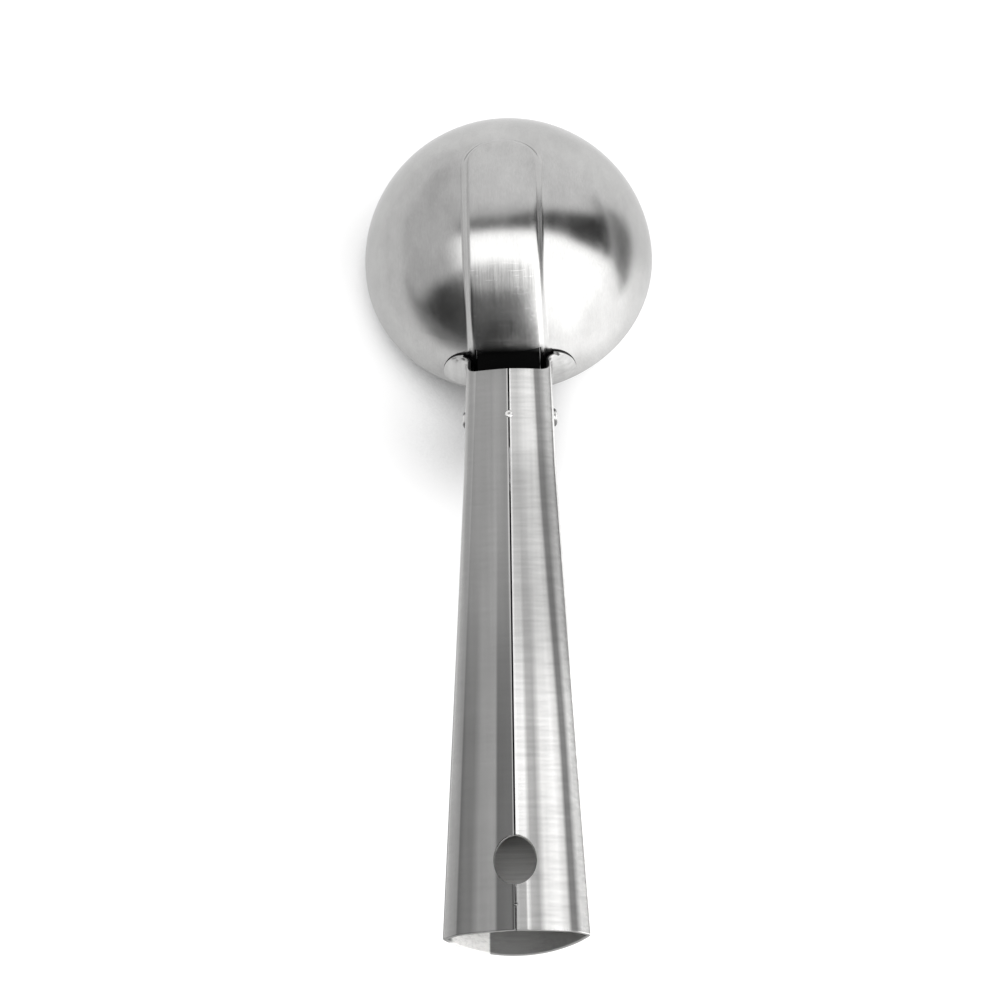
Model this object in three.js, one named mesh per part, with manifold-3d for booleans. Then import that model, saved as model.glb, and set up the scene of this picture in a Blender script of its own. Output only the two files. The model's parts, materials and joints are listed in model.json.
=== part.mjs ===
// Portion scoop with a thumb lever that swings a tongue through the bowl to push the portion out.
// Everything is stainless sheet, apart from the pivot rivet and the wire spring. Millimetres.
//
// While the pieces are made, the bowl's centre is the origin: the rim lies in the plane z = 0, the bowl's
// back faces +Z and the handle runs towards -Y. At the end the scoop is laid face down, as on a table.

import * as THREE from 'three';
import { mergeVertices } from 'three/addons/utils/BufferGeometryUtils.js';
import Module from 'manifold-3d';

// Bowl
const bowlRadius = 30;
const bowlSheet = 1;
const channelWidth = 15.5;
const channelStraight = 8;
const channelArch = 6.6;
const windowBottom = 2.2;
const windowTop = 13.8;
const windowSideMargin = 0.1;

// Handle
const handlePitch = THREE.MathUtils.degToRad(8);
const handleSheet = 0.8;
const handleLength = 126.8;
const throatLength = 25;
const throatFlare = 1.1;
const endWidth = 27.8;
const endHeight = 12.1;
const frontLevel = 0.4;
const mouthCornerDrop = 1.8;
const endCornerDrop = 3.4;
const mouthPanelShare = 0.86;
const endPanelShare = 0.78;
const mouthSideRoundness = 6;
const endSideRoundness = 2;
const mouthFrontRoundness = 2;
const endFrontRoundness = 1.15;
const panelDrop = 0.43;
const panelCurve = 1.4;
const mouthSideClearance = 1.6;
const mouthBackClearance = 0.6;
const notchSetback = 2.8;
const notchSideWall = 0.7;
const notchCorner = 1.4;
const wingRadius = 8;
const wingCentreX = 5.5;
const wingCentreHeight = 4.6;
const wingFoot = 2.8;
const seamGap = 0.36;
const weldLength = 1.6;
const weldHeight = 0.2;
const mouthWeldInset = 13.4;
const endWeldInset = 5.2;
const hangingHoleInset = 14.4;
const hangingHoleLength = 10;
const hangingHoleWidth = 8.2;

// Pivot rivet
const pivotSetback = 8.8;
const pivotHeight = 6.1;
const pinDiameter = 2.8;
const pinHoleClearance = 0.15;
const headDiameter = 3.7;
const headHeight = 0.75;
const headSeatGap = 0.15;

// Return spring
const springWire = 0.8;
const springPlay = 0.4;
const springPitch = 1.35;
const springTurns = 4;
const springLeverLeg = 6.4;
const springHandleLeg = 6;
const springEndClearance = 0.6;

// Ejector tongue
const tongueSheet = 0.8;
const tongueClearance = 0.3;
const tongueSideClearance = 0.45;
const tongueBend = 3;
const tongueLap = 5.5;
const weldedGap = 0.3;

// Thumb lever
const leverSheet = 1;
const leverTravel = THREE.MathUtils.degToRad(30);
const leverWebFront = 7.6;
const leverWebRear = 6;
const leverArmWidth = 10;
const leverRearBend = 3;
const leverPadBend = 4;
const earRadius = 2.5;
const earShoulder = 4.4;
const earRunningClearance = 0.2;
const padStart = 13;
const padLength = 21;
const padWidth = 14;
const padCurl = 4;
const padCurlAngle = THREE.MathUtils.degToRad(32);
const padHandleGap = 0.9;
const slotClearance = 0.8;
const slotCorner = 2;

// Sizes that follow from the ones above
const channelRaise = tongueSheet + tongueClearance;
const tongueWidth = channelWidth - 2 * (bowlSheet + tongueSideClearance);
const springRoom = (springTurns + 1) * springPitch + springWire;
const leverWebWidth = springRoom + 2 * (springEndClearance + leverSheet);
const mouthWidth = Math.max(tongueWidth, leverWebWidth) + 2 * (mouthSideClearance + handleSheet);
const throatWidth = mouthWidth + throatFlare;
const springRadius = pinDiameter / 2 + springPlay + springWire / 2;
const webBottom = pivotHeight + springRadius + springWire / 2 + weldedGap;
const lapBottom = webBottom + leverSheet + weldedGap;
const lapTop = lapBottom + tongueSheet;
const mouthHeight = lapTop + mouthBackClearance + handleSheet + mouthCornerDrop / 2 - frontLevel;
const pivot = new THREE.Vector2(-bowlRadius - pivotSetback, pivotHeight);

const wasm = await Module();
wasm.setup();

// Solids: closed geometry in and out of the boolean library
function solid(geometry) {
  const bare = geometry.clone();
  bare.deleteAttribute('normal');
  bare.deleteAttribute('uv');
  const merged = mergeVertices(bare, 1e-4);
  return new wasm.Manifold(new wasm.Mesh({
    numProp: 3,
    vertProperties: new Float32Array(merged.attributes.position.array),
    triVerts: new Uint32Array(merged.index.array),
  }));
}

function geometryOf(manifold) {
  const mesh = manifold.getMesh();
  const geometry = new THREE.BufferGeometry();
  geometry.setAttribute('position', new THREE.BufferAttribute(new Float32Array(mesh.vertProperties), 3));
  geometry.setIndex(new THREE.BufferAttribute(new Uint32Array(mesh.triVerts), 1));
  return geometry;
}

// A loft joins rings of equal length; each ring is a flat outline, and place(index, point) puts it in space
function loft(outlines, place) {
  const count = outlines[0].length;
  const positions = [];
  outlines.forEach((outline, index) => outline.forEach((point) => positions.push(...place(index, point))));
  const faces = [];
  for (let ring = 0; ring < outlines.length - 1; ring++) {
    for (let i = 0; i < count; i++) {
      const next = (i + 1) % count;
      const a = ring * count + i;
      const b = ring * count + next;
      faces.push(a, b, b + count, a, b + count, a + count);
    }
  }
  const last = (outlines.length - 1) * count;
  const firstCap = THREE.ShapeUtils.triangulateShape(outlines[0], []);
  const lastCap = THREE.ShapeUtils.triangulateShape(outlines.at(-1), []);
  firstCap.forEach(([a, b, c]) => faces.push(c, b, a));
  lastCap.forEach(([a, b, c]) => faces.push(last + a, last + b, last + c));
  const geometry = new THREE.BufferGeometry();
  geometry.setAttribute('position', new THREE.Float32BufferAttribute(positions, 3));
  geometry.setIndex(faces);
  return geometry;
}

// A prism stands an outline up along one axis, from low to high
function prism(shape, low, high, curveSegments = 12) {
  const depth = high - low;
  return new THREE.ExtrudeGeometry(shape, { depth, bevelEnabled: false, curveSegments }).translate(0, 0, low);
}

// Outlines drawn across the scoop (x, z) stand along -Y, and side outlines (y, z) stand along X
const acrossToSpace = new THREE.Matrix4().makeBasis(
  new THREE.Vector3(1, 0, 0), new THREE.Vector3(0, 0, 1), new THREE.Vector3(0, -1, 0));
const sideToSpace = new THREE.Matrix4().makeBasis(
  new THREE.Vector3(0, 1, 0), new THREE.Vector3(0, 0, 1), new THREE.Vector3(1, 0, 0));

// Bowl: a pressed hemisphere whose embossed channel houses the tongue
const bowlSegments = 56;
const bowlRings = 14;

function dome(radius, skirt) {
  const profile = [new THREE.Vector2(0, radius)];
  for (let ring = 1; ring < bowlRings; ring++) {
    const angle = Math.PI / 2 * (1 - ring / bowlRings);
    profile.push(new THREE.Vector2(radius * Math.cos(angle), radius * Math.sin(angle)));
  }
  profile.push(new THREE.Vector2(radius, 0));
  if (skirt > 0) profile.push(new THREE.Vector2(radius, -skirt));
  profile.push(new THREE.Vector2(0, -skirt));
  return new THREE.LatheGeometry(profile.reverse(), bowlSegments).rotateX(Math.PI / 2);
}

function ball(radius) {
  return new THREE.SphereGeometry(radius, bowlSegments, bowlRings * 2).rotateX(Math.PI / 2);
}

// The channel's plan, drawn in by inset: straight sides with a flat-arched far end
function channelPlan(inset) {
  const half = channelWidth / 2 - inset;
  const near = -2 * bowlRadius;
  const plan = new THREE.Shape();
  plan.moveTo(-half, near);
  plan.lineTo(half, near);
  plan.lineTo(half, channelStraight);
  plan.absellipse(0, channelStraight, half, channelArch - inset, 0, Math.PI, false);
  plan.closePath();
  return plan;
}

function makeBowl() {
  const channelFoot = (windowBottom + windowTop) / 2;
  const above = bowlRadius * 2;
  const outerChannel = solid(prism(channelPlan(0), channelFoot, above));
  const innerChannel = solid(prism(channelPlan(bowlSheet), channelFoot, above));
  const raised = solid(dome(bowlRadius + channelRaise, 0)).intersect(outerChannel);
  const raisedInside = solid(dome(bowlRadius - bowlSheet + channelRaise, 0)).intersect(innerChannel);
  const inside = solid(dome(bowlRadius - bowlSheet, bowlSheet)).add(raisedInside);
  const windowWidth = channelWidth + 2 * windowSideMargin;
  const windowBox = new THREE.BoxGeometry(windowWidth, bowlRadius, windowTop - windowBottom);
  windowBox.translate(0, -bowlRadius, (windowTop + windowBottom) / 2);
  return geometryOf(solid(dome(bowlRadius, 0)).add(raised).subtract(inside).subtract(solid(windowBox)));
}

// Handle: sheet rolled to a tube, round-cornered at the mouth and lens-shaped at the open end.
// Along the handle u counts from the bowl, and h is the height above its front.
const handleToSpace = new THREE.Matrix4().makeRotationX(-handlePitch).setPosition(0, -bowlRadius, frontLevel);
const spaceToHandle = handleToSpace.clone().invert();

function handlePoint(u, h) {
  const point = new THREE.Vector3(0, -u, h).applyMatrix4(handleToSpace);
  return new THREE.Vector2(point.y, point.z);
}

function alongHandle(point) {
  const local = new THREE.Vector3(0, point.x, point.y).applyMatrix4(spaceToHandle);
  return { u: -local.y, h: local.z };
}

function handleSection(u) {
  const share = THREE.MathUtils.clamp((u - throatLength) / (handleLength - throatLength), -1, 1.2);
  const opening = Math.max(share, 0);
  const width = share > 0
    ? THREE.MathUtils.lerp(throatWidth, endWidth, share)
    : THREE.MathUtils.lerp(mouthWidth, throatWidth, u / throatLength);
  return {
    half: width / 2,
    height: THREE.MathUtils.lerp(mouthHeight, endHeight, u / handleLength),
    drop: THREE.MathUtils.lerp(mouthCornerDrop, endCornerDrop, opening),
    bendShare: THREE.MathUtils.lerp(mouthPanelShare, endPanelShare, opening),
    sideRoundness: THREE.MathUtils.lerp(mouthSideRoundness, endSideRoundness, opening),
    frontRoundness: THREE.MathUtils.lerp(mouthFrontRoundness, endFrontRoundness, opening),
  };
}

// Half the tube's outer width at a height below its corners
function sideReach(u, h) {
  const { half, height, drop, sideRoundness, frontRoundness } = handleSection(u);
  const corner = height - drop;
  const below = THREE.MathUtils.clamp((corner - h) / corner, 0, 1);
  return half * (1 - below ** frontRoundness) ** (1 / sideRoundness);
}

// The outer outline at u, from the ridge down the left side and up the right: back panels that fall off a
// little from the seam, side bands bent down to the corners, and a front that bulges
const panelSteps = 4;
const frontSteps = 8;
const firstFrontAngle = THREE.MathUtils.degToRad(22);

function handleOutline(u) {
  const { half, height, drop, bendShare, sideRoundness, frontRoundness } = handleSection(u);
  const corner = height - drop;
  const right = [];
  for (let step = 1; step <= panelSteps; step++) {
    const share = step / panelSteps;
    right.push(new THREE.Vector2(half * bendShare * share, height - drop * panelDrop * share ** panelCurve));
  }
  right.push(new THREE.Vector2(half, corner));
  for (let step = 0; step < frontSteps; step++) {
    const angle = THREE.MathUtils.lerp(firstFrontAngle, Math.PI / 2, step / frontSteps);
    const across = Math.cos(angle) ** (2 / sideRoundness);
    const down = Math.sin(angle) ** (2 / frontRoundness);
    right.push(new THREE.Vector2(half * across, corner * (1 - down)));
  }
  const left = right.map((point) => new THREE.Vector2(-point.x, point.y));
  return [new THREE.Vector2(0, height), ...left, new THREE.Vector2(0, 0), ...right.reverse()];
}

// The same outline moved inwards by a distance, with the wall even round the bends
function inwards(outline, distance) {
  const count = outline.length;
  return outline.map((point, i) => {
    const before = point.clone().sub(outline[(i + count - 1) % count]).normalize();
    const after = outline[(i + 1) % count].clone().sub(point).normalize();
    const normalBefore = new THREE.Vector2(-before.y, before.x);
    const normalAfter = new THREE.Vector2(-after.y, after.x);
    const middle = normalBefore.clone().add(normalAfter).normalize();
    return point.clone().addScaledVector(middle, distance / middle.dot(normalAfter));
  });
}

const throatSteps = 4;
const gripSteps = 7;

function handleTube(inset, from, to) {
  const stations = [from, from / 2, 0];
  for (let step = 1; step <= throatSteps; step++) stations.push(throatLength * step / throatSteps);
  for (let step = 1; step <= gripSteps; step++) {
    stations.push(THREE.MathUtils.lerp(throatLength, handleLength, step / gripSteps));
  }
  if (to > handleLength) stations.push(to);
  const outlines = stations.map((u) => (inset > 0 ? inwards(handleOutline(u), inset) : handleOutline(u)));
  return loft(outlines, (index, point) => [point.x, -stations[index], point.y]).applyMatrix4(handleToSpace);
}

// Flaps pressed against the bowl on both sides of the mouth
function makeWings() {
  const seat = bowlRadius + weldedGap;
  const shell = solid(ball(seat + handleSheet)).subtract(solid(ball(seat)));
  const start = Math.asin((wingFoot - wingCentreHeight) / wingRadius);
  const wings = [-1, 1].map((side) => {
    const outline = new THREE.Shape();
    outline.absarc(side * wingCentreX, wingCentreHeight, wingRadius, start, Math.PI - start, false);
    outline.closePath();
    return solid(prism(outline, 0, 2 * bowlRadius, 16).applyMatrix4(acrossToSpace));
  });
  return shell.intersect(wings[0].add(wings[1]));
}

function handleCut(shape, low, high, curveSegments) {
  return solid(prism(shape, low, high, curveSegments).applyMatrix4(handleToSpace));
}

function rectangle(halfWidth, fromU, toU, corner) {
  const shape = new THREE.Shape();
  shape.moveTo(-halfWidth, -fromU);
  shape.lineTo(-halfWidth, -toU + corner);
  shape.absarc(-halfWidth + corner, -toU + corner, corner, Math.PI, Math.PI * 1.5, false);
  shape.absarc(halfWidth - corner, -toU + corner, corner, Math.PI * 1.5, Math.PI * 2, false);
  shape.lineTo(halfWidth, -fromU);
  shape.closePath();
  return shape;
}

function makeHandle(slot) {
  const overrun = bowlRadius / 3;
  const aboveBack = mouthHeight + overrun;
  const mid = endHeight / 2;
  const tube = solid(handleTube(0, -overrun, handleLength)).subtract(solid(ball(bowlRadius + weldedGap)));
  const hollow = solid(handleTube(handleSheet, -overrun - 1, handleLength + 1));
  const notchShape = rectangle(mouthWidth / 2 - notchSideWall, -overrun, notchSetback, notchCorner);
  const notch = handleCut(notchShape, mouthHeight / 2, aboveBack, 5);
  const slotShape = rectangle(leverArmWidth / 2 + slotClearance, slot.from, slot.to, slotCorner);
  const slotCut = handleCut(slotShape, -overrun, mid / 2, 5);
  const holeShape = new THREE.Shape();
  const holeU = handleLength - hangingHoleInset;
  holeShape.absellipse(0, -holeU, hangingHoleWidth / 2, hangingHoleLength / 2, 0, Math.PI * 2, false);
  const hole = handleCut(holeShape, mid, aboveBack, 14);
  let handle = tube.add(makeWings()).subtract(hollow).subtract(notch).subtract(slotCut).subtract(hole);

  // The seam runs the whole length and is bridged by a tack weld near each end
  const welds = [mouthWeldInset, handleLength - endWeldInset];
  const seamEnds = [0, welds[0] - weldLength / 2, welds[0] + weldLength / 2,
    welds[1] - weldLength / 2, welds[1] + weldLength / 2, handleLength + overrun];
  for (let i = 0; i < seamEnds.length; i += 2) {
    const length = seamEnds[i + 1] - seamEnds[i];
    const cut = new THREE.BoxGeometry(seamGap, length, aboveBack - mid);
    cut.translate(0, -(seamEnds[i] + seamEnds[i + 1]) / 2, (aboveBack + mid) / 2);
    handle = handle.subtract(solid(cut.applyMatrix4(handleToSpace)));
  }
  for (const u of welds) {
    const bead = new THREE.SphereGeometry(weldLength / 2, 12, 8).rotateX(Math.PI / 2);
    bead.scale(1, 1, 2 * weldHeight / weldLength);
    bead.translate(0, -u, handleSection(u).height);
    handle = handle.add(solid(bead.applyMatrix4(handleToSpace)));
  }

  const holeRadius = pinDiameter / 2 + pinHoleClearance;
  const pinHole = new THREE.CylinderGeometry(holeRadius, holeRadius, 2 * mouthWidth, 20);
  pinHole.rotateZ(Math.PI / 2).translate(0, pivot.x, pivot.y);
  return geometryOf(handle.subtract(solid(pinHole)));
}

// Bent strips: stations along a centre line in the side view, each with its point, the direction out of the
// strip's back face, half its width and how far it keeps the bowl's crosswise curve
const tongueRadius = bowlRadius - bowlSheet + tongueSheet / 2;

function bentStrip(stations, sheet) {
  const across = 6;
  const outlines = stations.map(({ half, crown }) => {
    const back = [];
    const front = [];
    for (let i = 0; i <= across; i++) {
      const x = half * (2 * i / across - 1);
      const sag = crown * (tongueRadius - Math.sqrt(tongueRadius ** 2 - x ** 2));
      back.push(new THREE.Vector2(x, sheet / 2 - sag));
      front.push(new THREE.Vector2(x, -sheet / 2 - sag));
    }
    return [...front, ...back.reverse()];
  });
  return loft(outlines, (index, point) => {
    const { at, normal } = stations[index];
    return [point.x, at.x + normal.x * point.y, at.y + normal.y * point.y];
  });
}

function station(at, heading, half, crown = 0) {
  return { at, normal: new THREE.Vector2(heading.y, -heading.x), half, crown };
}

// A centre line through corner points, with each inner corner rounded to its bend radius
const bendSteps = 5;

function bentLine(corners, bends) {
  const line = [];
  corners.forEach((corner, i) => {
    const before = i > 0 ? corner.clone().sub(corners[i - 1]).normalize() : null;
    const after = i < corners.length - 1 ? corners[i + 1].clone().sub(corner).normalize() : null;
    if (!before || !after) {
      line.push({ at: corner.clone(), heading: before || after });
      return;
    }
    const turn = Math.atan2(before.cross(after), before.dot(after));
    const reach = bends[i - 1] * Math.tan(Math.abs(turn) / 2);
    const start = corner.clone().addScaledVector(before, -reach);
    const side = new THREE.Vector2(-before.y, before.x).multiplyScalar(Math.sign(turn));
    const centre = start.clone().addScaledVector(side, bends[i - 1]);
    for (let step = 0; step <= bendSteps; step++) {
      const angle = turn * step / bendSteps;
      const at = start.clone().rotateAround(centre, angle);
      line.push({ at, heading: before.clone().rotateAround(new THREE.Vector2(), angle) });
    }
  });
  return line;
}

// Ejector tongue: a spherical strip that lies flush in the channel, bends out through the window and laps
// the lever. Its tip is cut to the channel's arch.
const tipTurns = [80, 66, 50, 33, 16];
const bowlSteps = 12;
const lapBendSteps = 6;

function makeTongue() {
  const half = tongueWidth / 2;
  const inset = bowlSheet + tongueSideClearance;
  const lapMiddle = lapBottom + tongueSheet / 2;
  const leave = Math.asin((lapMiddle + tongueBend) / (tongueRadius + tongueBend));
  const archDepth = channelArch - inset;
  const onBowl = (angle, width) => station(
    new THREE.Vector2(-tongueRadius * Math.cos(angle), tongueRadius * Math.sin(angle)),
    new THREE.Vector2(-Math.sin(angle), -Math.cos(angle)), width, 1);
  const stations = [];
  for (const turn of tipTurns) {
    const t = THREE.MathUtils.degToRad(turn);
    const y = channelStraight + archDepth * Math.sin(t);
    stations.push(onBowl(Math.acos(-y / tongueRadius), half * Math.cos(t)));
  }
  const straight = Math.acos(-channelStraight / tongueRadius);
  for (let step = 0; step <= bowlSteps; step++) {
    stations.push(onBowl(THREE.MathUtils.lerp(straight, leave, step / bowlSteps), half));
  }
  const leaving = new THREE.Vector2(-Math.cos(leave), Math.sin(leave));
  const centre = leaving.multiplyScalar(tongueRadius + tongueBend);
  for (let step = 1; step <= lapBendSteps; step++) {
    const share = step / lapBendSteps;
    const angle = THREE.MathUtils.lerp(leave, Math.PI / 2, share);
    const outwards = new THREE.Vector2(Math.cos(angle), -Math.sin(angle));
    const heading = new THREE.Vector2(-Math.sin(angle), -Math.cos(angle));
    stations.push(station(centre.clone().addScaledVector(outwards, tongueBend), heading, half, 1 - share));
  }
  const lapEnd = new THREE.Vector2(centre.x - tongueLap, lapMiddle);
  stations.push(station(lapEnd, new THREE.Vector2(-1, 0), half));
  return solid(bentStrip(stations, tongueSheet));
}

// Thumb lever: a web under the tongue's lap with two ears on the pivot, an arm that leaves through the
// handle's front and a thumb pad that lies along the handle when pressed home
function pressed(point, angle) {
  return point.clone().rotateAround(pivot, -angle);
}

const webMiddle = webBottom + leverSheet / 2;

function leverLine() {
  const padLevel = -padHandleGap - leverSheet / 2;
  const pivotAlong = alongHandle(pivot).u;
  const padFrom = pressed(handlePoint(pivotAlong + padStart, padLevel), -leverTravel);
  const padTo = pressed(handlePoint(pivotAlong + padStart + padLength, padLevel), -leverTravel);
  const padHeading = padTo.clone().sub(padFrom).normalize();
  const curl = padHeading.clone().rotateAround(new THREE.Vector2(), padCurlAngle);
  return bentLine([
    new THREE.Vector2(pivot.x + leverWebFront, webMiddle),
    new THREE.Vector2(pivot.x - leverWebRear, webMiddle),
    padFrom,
    padTo,
    padTo.clone().addScaledVector(curl, padCurl),
  ], [leverRearBend, leverPadBend, leverPadBend]);
}

// Half the lever's width at a point of its line: full over the web, necked through the slot, wide at the
// pad and drawn in at the curled tip
function leverHalfWidth(index, lastIndex) {
  const armFrom = bendSteps + 2;
  const padFrom = armFrom + bendSteps;
  if (index <= 1) return leverWebWidth / 2;
  if (index < armFrom) return leverArmWidth / 2;
  if (index === lastIndex) return (padWidth - padCurl) / 2;
  const widened = THREE.MathUtils.clamp((index - armFrom + 1) / (padFrom - armFrom + 1), 0, 1);
  return THREE.MathUtils.lerp(leverArmWidth, padWidth, widened) / 2;
}

function makeLever() {
  const line = leverLine();
  const widths = line.map((_, index) => leverHalfWidth(index, line.length - 1));
  const stations = line.map(({ at, heading }, index) => station(at, heading, widths[index]));
  const strip = solid(bentStrip(stations, leverSheet));
  const ear = new THREE.Shape();
  ear.moveTo(pivot.x + earShoulder, webMiddle);
  ear.lineTo(pivot.x - earShoulder, webMiddle);
  ear.lineTo(pivot.x - earRadius, pivot.y);
  ear.absarc(pivot.x, pivot.y, earRadius, Math.PI, Math.PI * 2, false);
  ear.closePath();
  const earOuter = leverWebWidth / 2;
  let lever = strip;
  for (const inner of [-earOuter, earOuter - leverSheet]) {
    lever = lever.add(solid(prism(ear, inner, inner + leverSheet, 10).applyMatrix4(sideToSpace)));
  }
  const holeRadius = pinDiameter / 2 + earRunningClearance;
  const bore = new THREE.CylinderGeometry(holeRadius, holeRadius, 2 * tongueWidth, 24);
  return lever.subtract(solid(bore.rotateZ(Math.PI / 2).translate(0, pivot.x, pivot.y)));
}

// The slot in the handle's front is as long as the arm needs from rest to full travel
function leverSlot() {
  const line = leverLine();
  const slot = { from: Infinity, to: -Infinity };
  const pressSteps = 10;
  const pointSteps = 8;
  for (let press = 0; press <= pressSteps; press++) {
    for (let i = 0; i < line.length - 1; i++) {
      for (let step = 0; step <= pointSteps; step++) {
        const at = line[i].at.clone().lerp(line[i + 1].at, step / pointSteps);
        const { u, h } = alongHandle(pressed(at, leverTravel * press / pressSteps));
        if (h < -leverSheet || h > handleSheet + leverSheet) continue;
        slot.from = Math.min(slot.from, u - leverSheet - slotClearance);
        slot.to = Math.max(slot.to, u + leverSheet + slotClearance);
      }
    }
  }
  return slot;
}

// Pivot rivet: a straight shank through both side walls with a low domed head on each side
const headRimShare = 0.4;
const domeSteps = 3;

function makePin() {
  const { u, h } = alongHandle(pivot);
  const seat = sideReach(u, h + headDiameter / 2) + headSeatGap;
  const radius = headDiameter / 2;
  const half = [new THREE.Vector2(pinDiameter / 2, seat), new THREE.Vector2(radius, seat)];
  for (let step = 0; step < domeSteps; step++) {
    const angle = Math.PI / 2 * step / domeSteps;
    const rise = headHeight * THREE.MathUtils.lerp(headRimShare, 1, Math.sin(angle));
    half.push(new THREE.Vector2(radius * Math.cos(angle), seat + rise));
  }
  half.push(new THREE.Vector2(0, seat + headHeight));
  const profile = [...half.map((point) => new THREE.Vector2(point.x, -point.y)).reverse(), ...half];
  return new THREE.LatheGeometry(profile, 20).rotateZ(-Math.PI / 2).translate(0, pivot.x, pivot.y);
}

// Return spring: a torsion coil round the rivet. One leg presses up on the lever's web and holds the tongue
// in its channel, the other rests on the inside of the handle's front.
const gapSamples = 400;
const stepsPerTurn = 8;
const wireSides = 5;

class TorsionSpring extends THREE.Curve {
  constructor() {
    super();
    const legHeight = handleSheet + weldedGap + springWire / 2;
    const legTarget = handlePoint(alongHandle(pivot).u - springHandleLeg, legHeight);
    const reach = legTarget.clone().sub(pivot);
    const toTarget = Math.atan2(reach.y, reach.x);
    this.startAngle = toTarget - Math.acos(springRadius / reach.length());
    const quarterTurn = Math.PI / 2;
    const partTurn = THREE.MathUtils.euclideanModulo(this.startAngle - quarterTurn, 2 * Math.PI);
    this.sweep = partTurn + 2 * Math.PI * springTurns;
    this.handleLeg = Math.sqrt(reach.lengthSq() - springRadius ** 2);
    this.coil = this.sweep * Math.hypot(springRadius, springPitch / (2 * Math.PI));
    this.total = this.handleLeg + this.coil + springLeverLeg;
    this.width = springPitch * this.sweep / (2 * Math.PI);
  }

  onCoil(angle, x) {
    const y = pivot.x + springRadius * Math.cos(angle);
    const z = pivot.y + springRadius * Math.sin(angle);
    return new THREE.Vector3(x, y, z);
  }

  getPoint(t, target = new THREE.Vector3()) {
    const along = t * this.total;
    const half = this.width / 2;
    if (along < this.handleLeg) {
      const back = this.handleLeg - along;
      const start = this.onCoil(this.startAngle, -half);
      start.y -= Math.sin(this.startAngle) * back;
      start.z += Math.cos(this.startAngle) * back;
      return target.copy(start);
    }
    const share = Math.min((along - this.handleLeg) / this.coil, 1);
    const point = this.onCoil(this.startAngle - this.sweep * share, half * (2 * share - 1));
    point.y += Math.max(along - this.handleLeg - this.coil, 0);
    return target.copy(point);
  }

  // The least clear distance between stretches of wire that are at least half a turn apart
  leastGap() {
    const points = this.getSpacedPoints(gapSamples);
    const apart = Math.ceil(Math.PI * springRadius / this.total * gapSamples);
    let least = Infinity;
    for (let i = 0; i + apart < points.length; i++) {
      const distances = points.slice(i + apart).map((point) => point.distanceTo(points[i]));
      least = Math.min(least, ...distances);
    }
    return least - springWire;
  }
}

function makeSpring() {
  const path = new TorsionSpring();
  console.log(`return spring: least gap between turns ${path.leastGap().toFixed(2)} mm`);
  const steps = Math.round(path.total / (2 * Math.PI * springRadius) * stepsPerTurn);
  const section = new THREE.Shape();
  for (let side = 0; side < wireSides; side++) {
    const angle = 2 * Math.PI * side / wireSides;
    const corner = [springWire / 2 * Math.cos(angle), springWire / 2 * Math.sin(angle)];
    if (side === 0) section.moveTo(...corner);
    else section.lineTo(...corner);
  }
  section.closePath();
  return new THREE.ExtrudeGeometry(section, { steps, extrudePath: path, bevelEnabled: false });
}

// Finishes
const brushedBowl = new THREE.MeshStandardMaterial({ color: 0xc4c4c1, roughness: 0.28, metalness: 1 });
const brushedHandle = new THREE.MeshStandardMaterial({ color: 0xbcbdbb, roughness: 0.33, metalness: 1 });
const brushedTongue = new THREE.MeshStandardMaterial({ color: 0xc0c0bd, roughness: 0.3, metalness: 1 });
const bareSteel = new THREE.MeshStandardMaterial({ color: 0xb4b5b4, roughness: 0.25, metalness: 1 });
const springSteel = new THREE.MeshStandardMaterial({ color: 0x9c9d9e, roughness: 0.3, metalness: 1 });

const scoop = new THREE.Group();

function addPiece(name, geometry, material) {
  const mesh = new THREE.Mesh(geometry, material);
  mesh.name = name;
  scoop.add(mesh);
}

addPiece('bowl', makeBowl(), brushedBowl);
addPiece('handle', makeHandle(leverSlot()), brushedHandle);
addPiece('pivot_rivet', makePin(), bareSteel);
addPiece('return_spring', makeSpring(), springSteel);
addPiece('ejector_tongue', geometryOf(makeTongue()), brushedTongue);
addPiece('thumb_lever', geometryOf(makeLever()), brushedTongue);

// Laid face down the scoop rests on the far point of its rim and the end of the thumb pad
let tilt = 0;
const leverPoints = scoop.getObjectByName('thumb_lever').geometry.attributes.position;
for (let i = 0; i < leverPoints.count; i++) {
  tilt = Math.max(tilt, Math.atan2(-leverPoints.getZ(i), bowlRadius - leverPoints.getY(i)));
}
scoop.rotation.x = -tilt;
scoop.updateMatrixWorld(true);
const extent = new THREE.Box3().setFromObject(scoop, true);
scoop.position.set(0, -(extent.min.y + extent.max.y) / 2, -extent.min.z);

const resting = new THREE.Group();
resting.add(scoop);

export default resting;
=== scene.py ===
# A stainless portion scoop for ice cream, laid face down on a pale table and seen from its back.
# The pieces follow in the order in which the scoop is put together, and the table and the light come last.
import json
import math

import bmesh
import bpy
import numpy as np
from mathutils import Matrix


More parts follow.
